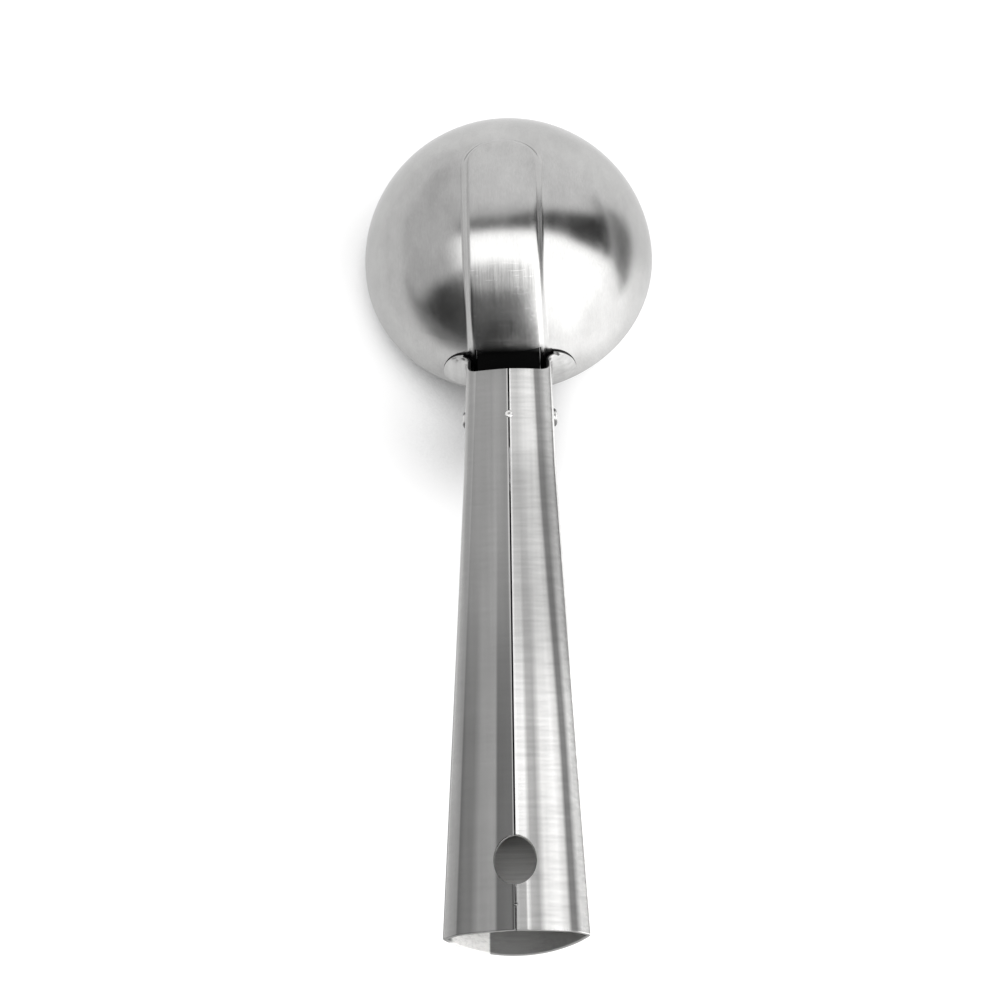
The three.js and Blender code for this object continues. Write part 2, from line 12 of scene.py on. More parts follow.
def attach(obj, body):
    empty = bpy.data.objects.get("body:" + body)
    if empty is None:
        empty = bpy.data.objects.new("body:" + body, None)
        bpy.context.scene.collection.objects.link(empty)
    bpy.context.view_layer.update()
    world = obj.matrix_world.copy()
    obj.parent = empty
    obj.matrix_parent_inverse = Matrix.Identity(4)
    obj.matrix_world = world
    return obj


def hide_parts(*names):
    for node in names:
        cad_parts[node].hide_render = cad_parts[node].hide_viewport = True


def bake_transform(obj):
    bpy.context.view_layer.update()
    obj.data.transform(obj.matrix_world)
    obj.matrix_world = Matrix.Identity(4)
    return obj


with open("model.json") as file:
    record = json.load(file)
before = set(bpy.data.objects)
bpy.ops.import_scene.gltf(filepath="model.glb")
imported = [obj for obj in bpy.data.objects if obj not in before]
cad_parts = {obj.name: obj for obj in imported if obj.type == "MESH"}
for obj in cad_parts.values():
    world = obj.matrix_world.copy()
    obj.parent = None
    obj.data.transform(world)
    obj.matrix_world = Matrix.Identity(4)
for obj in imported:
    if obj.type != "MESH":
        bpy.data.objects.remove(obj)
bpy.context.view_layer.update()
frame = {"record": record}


# Bowl
# A hemisphere pressed from 1 mm stainless sheet and brushed to a satin. A channel for the ejector tongue is
# embossed down its back, and a window at the channel's foot lets the tongue out. The rim is trimmed flat.
bowl_radius = 30.0
bowl_sheet = 1.0
channel_half = 7.75
channel_straight = 8.0
channel_arch = 6.6
channel_raise = 1.1
channel_ramp = 1.2
channel_wall = 1.95
channel_wall_inset = 0.35
channel_foot = (8.0, 12.0)
window_half = 6.55
window_bottom = 2.2
window_top = 13.8
brushed_off = 0.03
brush_depth = 0.0000014
sharp_edge = math.radians(38)
stainless_white = (1.0, 0.995, 0.985, 1)
# The flat black of painted shade
painted_shade_black = (0.004, 0.004, 0.004, 1)

# The pieces are drawn in millimetres from the bowl's centre, with the rim at z = 0 and the handle towards -Y
pivot_y = -38.8
pivot_z = 6.1
rim_axis = frame["record"]["mounts"][0]["axis"]
pivot_place = np.array(frame["record"]["behaviour"]["joints"][0]["pos_m"])
tilt_sin = -rim_axis[1]
tilt_cos = -rim_axis[2]


def laid_down(points):
    """The drawn points, in metres, as the scoop lies on the table."""
    x, y, z = np.moveaxis(np.asarray(points, float), -1, 0)
    y = y - pivot_y
    z = z - pivot_z
    turned = np.stack([x, y * tilt_cos + z * tilt_sin, z * tilt_cos - y * tilt_sin], -1)
    return turned / 1000 + pivot_place


def smooth(low, high, value):
    """0 below low, 1 above high and a soft rise between them."""
    share = np.clip((value - low) / (high - low), 0, 1)
    return share * share * (3 - 2 * share)


def add_sheet(mesh, outside, inside, present=None, lip=0.08, inner_finish=0):
    """A sheet between two matching grids of points, closed by a rounded edge wherever it ends."""
    rows, columns = outside.shape[:2]
    places = {}
    for spot in np.ndindex(rows, columns):
        places.setdefault(tuple(np.round(outside[spot], 4)), (len(places), spot))
    number = np.empty((rows, columns), int)
    for spot in np.ndindex(rows, columns):
        number[spot] = places[tuple(np.round(outside[spot], 4))][0]
    top = np.array([outside[spot] for _, spot in places.values()])
    bottom = np.array([inside[spot] for _, spot in places.values()])
    faces = []
    sides = {}
    for i, j in np.ndindex(rows - 1, columns - 1):
        ring = list(dict.fromkeys([number[i, j], number[i, j + 1], number[i + 1, j + 1], number[i + 1, j]]))
        if len(ring) < 3 or (present is not None and not present[i, j]):
            continue
        faces.append(ring)
        for a, b in zip(ring, ring[1:] + ring[:1]):
            sides.setdefault(frozenset((a, b)), []).append(((a, b), ring))
    edges = [found[0] for found in sides.values() if len(found) == 1]
    push = np.zeros_like(top)
    for (a, b), ring in edges:
        along = top[b] - top[a]
        away = (top[a] + top[b]) / 2 - top[ring].mean(axis=0)
        away = away - along * away.dot(along) / along.dot(along)
        push[[a, b]] += away / max(np.linalg.norm(away), 1e-9)
    push = push / np.maximum(np.linalg.norm(push, axis=1, keepdims=True), 1e-9)
    layers = [top, top + (bottom - top) * 0.2 + push * lip, top + (bottom - top) * 0.8 + push * lip, bottom]
    made = {}

    def corner(layer, k):
        if (layer, k) not in made:
            made[layer, k] = mesh.verts.new(laid_down(layers[layer][k]))
        return made[layer, k]

    for ring in faces:
        mesh.faces.new([corner(0, k) for k in ring])
        mesh.faces.new([corner(3, k) for k in reversed(ring)]).material_index = inner_finish
    for (a, b), _ in edges:
        for layer in range(3):
            ring = [corner(layer, b), corner(layer, a), corner(layer + 1, a), corner(layer + 1, b)]
            mesh.faces.new(ring).material_index = inner_finish if layer else 0


def make_piece(name, mesh, *finishes):
    """The finished mesh as an object, smooth apart from its real edges."""
    bmesh.ops.recalc_face_normals(mesh, faces=mesh.faces)
    data = bpy.data.meshes.new(name)
    mesh.to_mesh(data)
    mesh.free()
    data.shade_smooth()
    data.set_sharp_from_angle(angle=sharp_edge)
    for finish in finishes:
        data.materials.append(finish)
    made = bpy.data.objects.new(name, data)
    bpy.context.scene.collection.objects.link(made)
    return made


class Wire:
    """A shader socket that can be used in sums, and from which other nodes are made."""

    def __init__(self, tree, socket=None):
        self.tree = tree
        self.socket = socket

    def node(self, kind, settings=None, inputs=None, output=0):
        made = self.tree.nodes.new(kind)
        for name, value in (settings or {}).items():
            if name == "stops":
                while len(made.color_ramp.elements) < len(value):
                    made.color_ramp.elements.new(0.5)
                for stop, (place, tone) in zip(made.color_ramp.elements, value):
                    stop.position = place
                    stop.color = (tone, tone, tone, 1)
            else:
                setattr(made, name, value)
        for name, value in (inputs or {}).items():
            if isinstance(value, Wire):
                self.tree.links.new(value.socket, made.inputs[name])
            else:
                made.inputs[name].default_value = value
        return Wire(self.tree, made.outputs[output])

    def sum(self, operation, first, second):
        return self.node("ShaderNodeMath", {"operation": operation}, {0: first, 1: second})

    def __add__(self, other):
        return self.sum("ADD", self, other)

    __radd__ = __add__

    def __sub__(self, other):
        return self.sum("SUBTRACT", self, other)

    def __rsub__(self, other):
        return self.sum("SUBTRACT", other, self)

    def __mul__(self, other):
        return self.sum("MULTIPLY", self, other)

    __rmul__ = __mul__

    def __truediv__(self, other):
        return self.sum("DIVIDE", self, other)

    def between(self, low, high):
        """0 below low, 1 above high, with a soft rise; high may be the lower of the two."""
        settings = {"interpolation_type": "SMOOTHSTEP", "clamp": True}
        if low < high:
            return self.node("ShaderNodeMapRange", settings, {0: self, 1: low, 2: high, 3: 0.0, 4: 1.0})
        return self.node("ShaderNodeMapRange", settings, {0: self, 1: high, 2: low, 3: 1.0, 4: 0.0})

    def parts(self):
        """The x, y and z of a vector."""
        made = self.tree.nodes.new("ShaderNodeSeparateXYZ")
        self.tree.links.new(self.socket, made.inputs[0])
        return [Wire(self.tree, socket) for socket in made.outputs]

    def stretched(self, x, y, z):
        """A vector scaled by its own amount along each axis."""
        return self.node("ShaderNodeVectorMath", {"operation": "MULTIPLY"}, {0: self, 1: (x, y, z)})

    def noise(self, scale, detail=2.0, roughness=0.5):
        inputs = {"Vector": self, "Scale": scale, "Detail": detail, "Roughness": roughness}
        return self.node("ShaderNodeTexNoise", {}, inputs)

    def swing(self, amount):
        """A noise's swing about its middle value, as wide as the amount."""
        return amount * (self - 0.5)


def new_finish(name):
    """A steel finish: its material, a wire of the place on the object in metres, and its shader."""
    made = bpy.data.materials.new(name)
    made.use_nodes = True
    tree = made.node_tree
    tree.nodes.clear()
    shader = tree.nodes.new("ShaderNodeBsdfPrincipled")
    shader.inputs["Metallic"].default_value = 1.0
    end = tree.nodes.new("ShaderNodeOutputMaterial")
    tree.links.new(shader.outputs[0], end.inputs["Surface"])
    place = Wire(tree).node("ShaderNodeTexCoord", output="Object")
    return made, place, shader


def dress(shader, tone, roughness, height, depth):
    """Feeds a shader its tone, from black to stainless white, its roughness and its brush marks' height."""
    tree = tone.tree
    black_to_white = {0: tone, 6: (0, 0, 0, 1), 7: stainless_white}
    colour = tone.node("ShaderNodeMix", {"data_type": "RGBA"}, black_to_white, 2)
    bump = height.node("ShaderNodeBump", {}, {"Strength": 1.0, "Distance": depth, "Height": height})
    tree.links.new(colour.socket, shader.inputs["Base Color"])
    tree.links.new(roughness.socket, shader.inputs["Roughness"])
    tree.links.new(bump.socket, shader.inputs["Normal"])


def paint_shade(shader, mask):
    """Covers a steel with painted shade, a flat black, where the mask is 1."""
    tree = mask.tree
    painted_shade_coat = tree.nodes.new("ShaderNodeBsdfDiffuse")
    painted_shade_coat.inputs["Color"].default_value = painted_shade_black
    both = tree.nodes.new("ShaderNodeMixShader")
    end = next(node for node in tree.nodes if node.type == "OUTPUT_MATERIAL")
    tree.links.new(mask.socket, both.inputs[0])
    tree.links.new(shader.outputs[0], both.inputs[1])
    tree.links.new(painted_shade_coat.outputs[0], both.inputs[2])
    tree.links.new(both.outputs[0], end.inputs["Surface"])


# The lower channel is rubbed and carries a painted highlight, brightest on the right, and its foot is painted
# black as shade
channel_edge = (0.0076, 0.0070)
channel_end = (0.078, 0.074)
wear_and_highlight_from = (0.0532, 0.0488)
fringe_to = (0.0435, 0.0465)
painted_shade_from = (0.0375, 0.0350)
painted_highlight_side = (-0.003, 0.003)
edge_tint = (0.82, 0.82, 0.82, 1)
bowl_steel, place, shader = new_finish("bowl_steel")
across, along, _ = place.parts()
off_middle = across.node("ShaderNodeMath", {"operation": "ABSOLUTE"}, {0: across})
strip = off_middle.between(*channel_edge) * along.between(*channel_end)
cloud = place.noise(90.0, 3.0)
satin = place.stretched(1.0, 0.2, 0.2).noise(5200.0, 2.0)
drawn = place.stretched(1.0, 0.03, 0.03).noise(2600.0, 3.0, 0.6)
scratch = place.stretched(0.05, 1.0, 1.0).noise(2300.0, 2.0).between(0.61, 0.72)
mottle = place.stretched(1.0, 0.5, 0.5).noise(260.0, 4.0, 0.6)
wear_and_highlight = strip * along.between(*wear_and_highlight_from)
fringe = wear_and_highlight * along.between(*fringe_to)
# Painted shade: the channel's foot by the handle's mouth is turned flat black
painted_shade_foot = strip * along.between(*painted_shade_from)
tone = 0.45 + cloud.swing(0.1) + mottle.swing(0.16) + satin.swing(0.08)
tone = tone + drawn.swing(0.02 + 0.34 * fringe) + 0.12 * scratch * wear_and_highlight
# A painted highlight brightens the worn channel's right side, and painted shade darkens its foot
tone = tone * (1 + 0.4 * wear_and_highlight * across.between(*painted_highlight_side)) * (1 - 0.98 * painted_shade_foot)
roughness = 0.21 + cloud.swing(0.1) + mottle.swing(0.12) + drawn.swing(0.16 * wear_and_highlight) + satin.swing(0.03)
dress(shader, tone, roughness, satin * 0.6 + wear_and_highlight * drawn * 0.9 + scratch * wear_and_highlight * 0.5, brush_depth)
shader.inputs["Anisotropic"].default_value = 0.4
shader.inputs["Specular Tint"].default_value = edge_tint
paint_shade(shader, painted_shade_foot * painted_shade_foot)

# Grid lines across and up the ball, closer together round the window and the channel's walls
levelled_rows = (15.0, 23.5)
x_lines = np.concatenate([np.linspace(0, window_half, 20), np.linspace(6.8, 8.5, 14), [9.0, 9.8]])
sideways = np.concatenate([np.arcsin(x_lines / bowl_radius), np.radians(np.linspace(21.5, 90, 24))])
sideways = np.concatenate([-sideways[:0:-1], sideways])
near_levels = np.array([0.12, 0.3, 0.8, 1.5, window_bottom, 4.0, 6.0, 8.0, 10.0, 12.0, window_top,
                        13.95, 14.3, 15.0, 16.2, 17.5, 19.0, 20.5, 22.0, 23.5])
upwards = np.concatenate([np.arcsin(near_levels / bowl_radius), np.radians(np.arange(54, 99.5, 2.0)),
                          np.radians(np.arange(100, 122.5, 0.55)), np.radians(np.arange(124, 179.2, 2.3)),
                          np.radians([179.3, 179.6, 179.77])])
turn_side = sideways[None, :]
turn_up = upwards[:, None]
levelled = np.arcsin(np.minimum(np.sin(turn_up) / np.cos(np.minimum(np.abs(turn_side), 0.30)), 1))
level_from, level_to = (math.asin(row / bowl_radius) for row in levelled_rows)
levelling = 1 - smooth(level_from, level_to, turn_up)
turn_up = turn_up + (levelled - turn_up) * levelling
heading = np.stack([np.sin(turn_side) * np.ones_like(turn_up), -np.cos(turn_side) * np.cos(turn_up),
                    np.cos(turn_side) * np.sin(turn_up)], -1)
plan_x = heading[..., 0] * bowl_radius / channel_half
plan_y = np.maximum(heading[..., 1] * bowl_radius - channel_straight, 0) / channel_arch
reach = np.maximum(np.hypot(plan_x, plan_y), 1e-6)
slope = np.hypot(plan_x / channel_half, plan_y / channel_arch) / reach
depth_inside = (1 - reach) / np.maximum(slope, 1e-6)
footing = smooth(*channel_foot, heading[..., 2] * bowl_radius)
wall_rise = smooth(-channel_wall / 2, channel_wall / 2, depth_inside - channel_wall_inset)
ramp_rise = smooth(-channel_ramp / 2, channel_ramp / 2, depth_inside - bowl_sheet)
raised = channel_raise * footing * wall_rise
raised_inside = channel_raise * footing * ramp_rise
row_level = np.where(upwards < math.pi / 2, np.sin(upwards) * bowl_radius, 99)
in_window = (row_level > window_bottom - 0.01) & (row_level < window_top + 0.01)
between_sides = np.abs(np.sin(sideways) * bowl_radius) < window_half + 0.01
cell_in_window = np.outer(in_window[:-1] & in_window[1:], between_sides[:-1] & between_sides[1:])
bowl_mesh = bmesh.new()
add_sheet(bowl_mesh, heading * (bowl_radius - brushed_off + raised)[..., None],
          heading * (bowl_radius - bowl_sheet + raised_inside)[..., None], ~cell_in_window)


def set_brushing(piece, middle):
    """The shine is drawn out along circles round this point, which lies far off so that they are straight."""
    piece.data.use_auto_texspace = False
    piece.data.texspace_location = middle
    piece.data.texspace_size = (1, 1, 1)


bowl = make_piece("bowl_shell", bowl_mesh, bowl_steel)
set_brushing(bowl, (0, 10, 0))
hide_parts("bowl")
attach(bowl, "scoop_body")


# Handle
# One 0.8 mm stainless sheet rolled to a tube, with its two edges meeting in a seam down the back. The mouth
# is notched for the tongue and spreads into two wings welded to the bowl. The far end is open, and a hanging
# hole is cut near it.
handle_pitch = math.radians(8)
front_level = 0.4
sheet_length = 126.8
handle_length = 126.72
throat_length = 25.0
taper_length = 101.8
handle_sheet = 0.8
weld_gap = 0.3
widths = (17.4, 18.5, 27.8)
heights = (13.0, 12.1)
corner_drops = (1.8, 3.4)
panel_shares = (0.86, 0.78)
side_roundness = (6.0, 2.0)
front_roundness = (2.0, 1.15)
panel_drop = 0.43
panel_curve = 1.4
bend_softness = (0.6, 0.42)
seam_half = 0.18
hole_centre = 112.4
hole_half_length = 5.2
hole_half_width = 4.1
notch_setback = 2.8
notch_side_wall = 0.4
notch_corner = 1.7
slot_from = 14.94
slot_to = 24.51
slot_half = 5.8
slot_corner = 2.0
wing_x = 5.5
wing_z = 4.6
wing_radius = 8.0
wing_foot = 2.8
wing_bend = 1.3
wing_press = (0.55, 0.22)


def on_handle(x, u, h):
    """A point at x across, u along from the bowl and h above the handle's front."""
    y = -bowl_radius - u * math.cos(handle_pitch) + h * math.sin(handle_pitch)
    z = front_level + u * math.sin(handle_pitch) + h * math.cos(handle_pitch)
    return np.stack(np.broadcast_arrays(x, y, z), -1)


def mixed(pair, share):
    return pair[0] + (pair[1] - pair[0]) * share


def slot_reach(u):
    """Half the slot's width at u, with its rounded corners, easing back to full width outside the slot."""
    inside = min(u - slot_from, slot_to - u)
    if inside < 0:
        return slot_half - slot_corner * (1 - float(smooth(0, 3, -inside)))
    short = max(slot_corner - inside, 0)
    return slot_half - slot_corner + math.sqrt(slot_corner ** 2 - short ** 2)


seam_shares = np.concatenate([[0, 0.012], np.linspace(0.04, 0.80, 15),
                              np.linspace(0.825, 0.995, 9), [0.998, 1.0]])
corner_shares = np.linspace(0, 1, 7)[1:]
side_shares = np.linspace(0, 1, 25)[1:] ** 1.15
front_shares = np.linspace(0, 1, 6)[1:]


def handle_ring(u):
    """The tube's outer and inner points round the section at u, from the seam's right edge to its left."""
    share = min(max((u - throat_length) / taper_length, 0), 1.2)
    half = (mixed(widths[:2], u / throat_length) if u < throat_length else mixed(widths[1:], share)) / 2
    height = mixed(heights, u / sheet_length)
    drop = mixed(corner_drops, share)
    bend = half * mixed(panel_shares, share)
    step = np.linspace(0, 1, 60)
    panel = np.stack([bend * step, height - drop * panel_drop * step ** panel_curve], -1)
    band = panel[-1] + (np.array([half, height - drop]) - panel[-1]) * np.linspace(0, 1, 20)[1:, None]
    angle = np.radians(np.linspace(0, 90, 160))[1:]
    bulge = np.stack([half * np.clip(np.cos(angle), 0, 1) ** (2 / mixed(side_roundness, share)),
                      (height - drop) * (1 - np.sin(angle) ** (2 / mixed(front_roundness, share)))], -1)
    right = np.concatenate([panel, band, bulge])
    outline = np.concatenate([right, (right * [-1, 1])[-2:0:-1]])
    side_lengths = np.linalg.norm(np.diff(outline, axis=0, append=outline[:1]), axis=1)
    length = np.concatenate([[0], np.cumsum(side_lengths)])
    count = 1200
    evenly = np.linspace(0, length[-1], count, endpoint=False)
    outline = np.concatenate([outline, outline[:1]])
    even = np.stack([np.interp(evenly, length, outline[:, k]) for k in (0, 1)], -1)
    spread = mixed(bend_softness, share) / (length[-1] / count)
    reach = int(3 * spread)
    weights = np.exp(-0.5 * (np.arange(-reach, reach + 1) / spread) ** 2)
    padded = np.concatenate([even[-reach:], even, even[:reach]])
    soft = np.stack([np.convolve(padded[:, k], weights / weights.sum(), "valid") for k in (0, 1)], -1)
    soft = soft[:count // 2 + 1]
    widest = int(np.argmax(soft[:, 0]))
    soft[:, 0] *= half / soft[widest, 0]
    soft[[0, -1], 0] = 0
    run = np.arange(len(soft), dtype=float)
    off_hole = (u - hole_centre) / hole_half_length
    hole_reach = hole_half_width * math.sqrt(1 - off_hole ** 2) if abs(off_hole) < 1 else 0
    seam_at = np.interp(max(hole_reach, seam_half), soft[:widest + 1, 0], run[:widest + 1])
    notch_at = np.interp(half - notch_side_wall, soft[:widest + 1, 0], run[:widest + 1])
    slot_at = np.interp(slot_reach(u), soft[widest:, 0][::-1], run[widest:][::-1])
    stops = np.concatenate([seam_at + (notch_at - seam_at) * seam_shares,
                            notch_at + (widest - notch_at) * corner_shares,
                            widest + (slot_at - widest) * side_shares,
                            slot_at + (run[-1] - slot_at) * front_shares])
    tangent = np.gradient(soft, axis=0)
    tangent /= np.linalg.norm(tangent, axis=1, keepdims=True)
    inner = soft + np.stack([tangent[:, 1], -tangent[:, 0]], -1) * handle_sheet
    rings = []
    for curve in (soft, inner):
        half_ring = np.stack([np.interp(stops, run, curve[:, k]) for k in (0, 1)], -1)
        half_ring[-1, 0] = 0
        rings.append(np.concatenate([half_ring, (half_ring * [-1, 1])[-2::-1]]))
    return rings


def start_on_ball(ring, radius):
    """How far along the handle each line of the section meets a ball round the bowl's centre."""
    x, h = ring.T
    y = -bowl_radius + h * math.sin(handle_pitch)
    z = front_level + h * math.cos(handle_pitch)
    middle = -y * math.cos(handle_pitch) + z * math.sin(handle_pitch)
    return -middle + np.sqrt(middle ** 2 - (x ** 2 + y ** 2 + z ** 2 - radius ** 2))


def on_ball(x, z, radius):
    return np.stack([x, -np.sqrt(radius ** 2 - x ** 2 - z ** 2), z], -1)


# The mouth is cut to the bowl's ball, set back at the notch and flared into the wings
mouth_end = 12.0
wing_shares = (1, 0.97, 0.75, 0.5, 0.25)
bend_shares = np.linspace(0, 1, 8)[:-1]
mouth_shares = np.array([0, 0.012, 0.04, 0.09, 0.16, 0.25, 0.36, 0.5, 0.66, 0.83])
hole_rows = hole_centre - hole_half_length * np.cos(np.linspace(0, math.pi, 27))
slot_rows = np.concatenate([slot_from + slot_corner * (1 - np.cos(np.linspace(0, math.pi / 2, 7))),
                            np.linspace(slot_from + slot_corner, slot_to - slot_corner, 5)[1:-1],
                            slot_to - slot_corner * (1 - np.cos(np.linspace(math.pi / 2, 0, 7)))])
grip_rows = np.unique(np.round(np.concatenate([
    [mouth_end, 13.0, 14.0, 14.8, 24.7, 25.5], slot_rows, np.arange(27, 107, 2.5), [107.2], hole_rows,
    [117.6], np.arange(118.5, 126, 1.5), [126.2, handle_length - 0.12, handle_length]]), 4))
mouth_ring, mouth_ring_inner = handle_ring(0.0)
mouth_x, mouth_h = mouth_ring.T
columns = len(mouth_x)
notch_edge = mouth_x.max() - notch_side_wall
seam_side = mouth_h > heights[0] - corner_drops[0] - 0.2
corner_run = np.clip(np.abs(mouth_x) - (notch_edge - notch_corner), 0, notch_corner)
notch_line = notch_setback - notch_corner + np.sqrt(notch_corner ** 2 - corner_run ** 2)
in_notch = seam_side & (np.abs(mouth_x) < notch_edge - 1e-4)
wall_cut = start_on_ball(mouth_ring, bowl_radius + weld_gap + handle_sheet)
wall_z = front_level + mouth_h * math.cos(handle_pitch) + wall_cut * math.sin(handle_pitch)
wing_edge = wing_x + np.sqrt(np.maximum(wing_radius ** 2 - (wall_z - wing_z) ** 2, 0))
wing_width = wing_edge - np.abs(mouth_x)
winged = ~in_notch & (wall_z > wing_foot) & (np.abs(wall_z - wing_z) < wing_radius) & (wing_width > 0)
winged &= np.abs(mouth_x) > 6
side = np.sign(mouth_x)
fillet = np.minimum(wing_bend, np.maximum(wing_width, 0.02))
sample_u = np.array([-6.0, 0.0, 6.0, mouth_end])
sampled = [handle_ring(u) for u in sample_u]
grids = []
for number, ring in enumerate((mouth_ring, mouth_ring_inner)):
    radius = bowl_radius + weld_gap + handle_sheet * (1 - number)
    meet = start_on_ball(ring, radius)
    cut = start_on_ball(ring, bowl_radius + weld_gap)
    start = np.where(in_notch, notch_line, np.where(winged, meet + fillet, cut))
    wall_x, wall_h = ring.T
    first = on_handle(wall_x, start, wall_h)
    knee = on_handle(wall_x, meet, wall_h)
    knee_z = knee[:, 2]
    bent_x = side * (np.abs(wall_x) + fillet + handle_sheet * number * 0.8)
    bent = on_ball(bent_x, knee_z, radius)
    edge_x = side * np.maximum(wing_edge, np.abs(bent_x))
    rows = []
    for share in wing_shares:
        pressed = radius - wing_press[number] * smooth(0.5, 1, share)
        rows.append(on_ball(bent_x + (edge_x - bent_x) * share, knee_z, pressed))
    for share in bend_shares:
        rows.append(bent * (1 - share) ** 2 + knee * 2 * share * (1 - share) + first * share ** 2)
    for share in mouth_shares:
        u = start + (mouth_end - start) * share
        x = [np.interp(u[j], sample_u, [sampled[k][number][j, 0] for k in range(4)]) for j in range(columns)]
        h = [np.interp(u[j], sample_u, [sampled[k][number][j, 1] for k in range(4)]) for j in range(columns)]
        rows.append(on_handle(np.array(x), u, np.array(h)))
    for u in grip_rows:
        section = handle_ring(u)[number]
        rows.append(on_handle(section[:, 0], np.full(columns, u), section[:, 1]))
    grids.append(np.array(rows))
wing_rows = len(wing_shares) + len(bend_shares)
handle_present = np.ones((len(grids[0]) - 1, columns - 1), bool)
handle_present[:wing_rows] = (winged[:-1] & winged[1:])[None, :]
slot_columns = len(seam_shares) + len(corner_shares) + len(side_shares) - 1
in_slot = (grip_rows > slot_from - 0.01) & (grip_rows < slot_to + 0.01)
first_grip = wing_rows + len(mouth_shares)
for k in range(len(grip_rows) - 1):
    if in_slot[k] and in_slot[k + 1]:
        handle_present[first_grip + k, slot_columns:columns - 1 - slot_columns] = False

# The back carries painted reflections in tone bands: pairs of a place, from the left edge to the right, and
# the tone there
mouth_reflection_tones = [
    (0.0, 0.42), (0.1, 0.34), (0.105, 0.28), (0.30, 0.28), (0.33, 0.30), (0.40, 0.29), (0.45, 0.27),
    (0.474, 0.28), (0.48, 0.56), (0.50, 0.56), (0.501, 0.8), (0.522, 0.8), (0.53, 0.56), (0.60, 0.52),
    (0.66, 0.66), (0.76, 0.74), (0.795, 0.62), (0.82, 0.24), (0.86, 0.24), (0.89, 0.34), (0.93, 0.50),
    (1.0, 0.56)]
end_reflection_tones = [
    (0.0, 0.55), (0.09, 0.34), (0.1, 0.18), (0.19, 0.18), (0.24, 0.27), (0.355, 0.29), (0.375, 0.13),
    (0.485, 0.14), (0.488, 0.42), (0.50, 0.42), (0.501, 0.9), (0.525, 0.9), (0.53, 0.82), (0.58, 0.82),
    (0.61, 0.42), (0.66, 0.36), (0.71, 0.74), (0.80, 0.86), (0.85, 0.64), (0.875, 0.2), (0.905, 0.2),
    (0.94, 0.7)]
half_width_at_middle = 0.00976
half_width_taper = 0.0476
fold_shift = 0.09
crease_places = (-0.8, -0.42, 0.27, 0.8)
crease_half = 0.02
handle_steel, place, shader = new_finish("handle_steel")
across, along, _ = place.parts()
cloud = place.noise(60.0, 3.0)
lines = place.stretched(0.03, 1.0, 1.0).noise(4200.0, 3.0, 0.65)
bands = place.stretched(0.05, 1.0, 1.0).noise(500.0, 2.0)
streaks = place.stretched(1.0, 0.02, 0.02).noise(900.0, 2.0)
smears = place.stretched(0.06, 1.0, 1.0).noise(1000.0, 2.0)
share = across / (half_width_at_middle - half_width_taper * along)
towards_end = along.between(0.015, -0.055)
outer_fold = fold_shift * share.between(0.4, 0.6)
mouth_share = 0.5 * (share - outer_fold * towards_end) + 0.5
end_share = 0.5 * (share + outer_fold * (1 - towards_end)) + 0.5
reflection_at_mouth = share.node("ShaderNodeValToRGB", {"stops": mouth_reflection_tones}, {0: mouth_share})
reflection_at_end = share.node("ShaderNodeValToRGB", {"stops": end_reflection_tones}, {0: end_share})
creases = 0
for middle in crease_places:
    rise = share.between(middle - crease_half, middle)
    creases = creases + rise * share.between(middle + crease_half, middle)
right_half = share.between(0.0, 0.05)
# The painted reflections are made darker on the right at the waist, below the hole and on the right wing, and
# lighter on the left wing
waist = along.between(0.018, 0.004) * along.between(-0.042, -0.022) * share.between(0.02, 0.04)
below_hole = along.between(-0.0755, -0.0785) * share.between(-0.05, -0.04) * share.between(0.17, 0.14)
wings = share.between(1.02, 1.08) - 0.6 * share.between(-1.02, -1.08)
# The painted reflection bands, blended from the mouth to the end
painted_reflections = reflection_at_mouth * (1 - towards_end) + reflection_at_end * towards_end
painted_reflections = painted_reflections * (1 - 0.26 * waist) * (1 - 0.55 * below_hole) * (1 - 0.28 * wings)
painted_reflections = painted_reflections * (1 + smears.swing(0.12 + 0.6 * right_half * cloud))
tone = painted_reflections * (1 + cloud.swing(0.26) + lines.swing(0.12) + streaks.swing(0.24))
roughness = 0.195 + 0.03 * cloud + lines.swing(0.04) + bands.swing(0.03)
dress(shader, tone, roughness, lines * 0.9 + bands * 0.7 - creases * 3.0, brush_depth)
shader.inputs["Anisotropic"].default_value = 0.85

# The inside keeps the mill's duller face, with painted light at the open end and under the hole, and painted
# shade near the mouth
mill_steel, place, shader = new_finish("mill_steel")
across, along, level = place.parts()
lines = place.stretched(0.03, 1.0, 1.0).noise(1600.0, 3.0, 0.65)
cloud = place.noise(150.0, 3.0)
painted_end_highlight = across.between(-0.0052, -0.0056) * along.between(-0.070, -0.078) * level.between(0.0538, 0.0528)
painted_light_under_hole = along.between(-0.0790, -0.0765) * along.between(-0.0635, -0.069)
painted_mouth_shade = along.between(0.027, 0.030)
# Painted light at the open end and under the hole, and painted shade darkening the inside by the mouth
tone = 0.34 + 0.36 * painted_light_under_hole + 0.64 * painted_end_highlight
tone = tone * (0.97 + 0.06 * cloud + lines.swing(0.5)) * (1 - 0.8 * painted_mouth_shade)
dress(shader, tone, 0.5 + 0.2 * cloud + 0.3 * painted_end_highlight, lines, 0.000003)
handle_mesh = bmesh.new()
add_sheet(handle_mesh, grids[0], grids[1], handle_present, inner_finish=1)
handle = make_piece("handle_tube", handle_mesh, handle_steel, mill_steel)
set_brushing(handle, (10, 0, 0))
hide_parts("handle")
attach(handle, "scoop_body")


# Seam welds
# Two small tack welds bridge the seam, one near the mouth and one near the open end. Each is a round bead
# with the pit that the arc leaves in its middle.
bead_profile = [(1.0, -0.12), (0.96, 0.04), (0.86, 0.14), (0.7, 0.2), (0.5, 0.23), (0.36, 0.21), (0.29, 0.1),
                (0.24, -0.12), (0.16, -0.25), (0.0, -0.28)]
bead_sizes = ((13.6, 0.85, 1.0), (121.6, 0.46, 1.6))


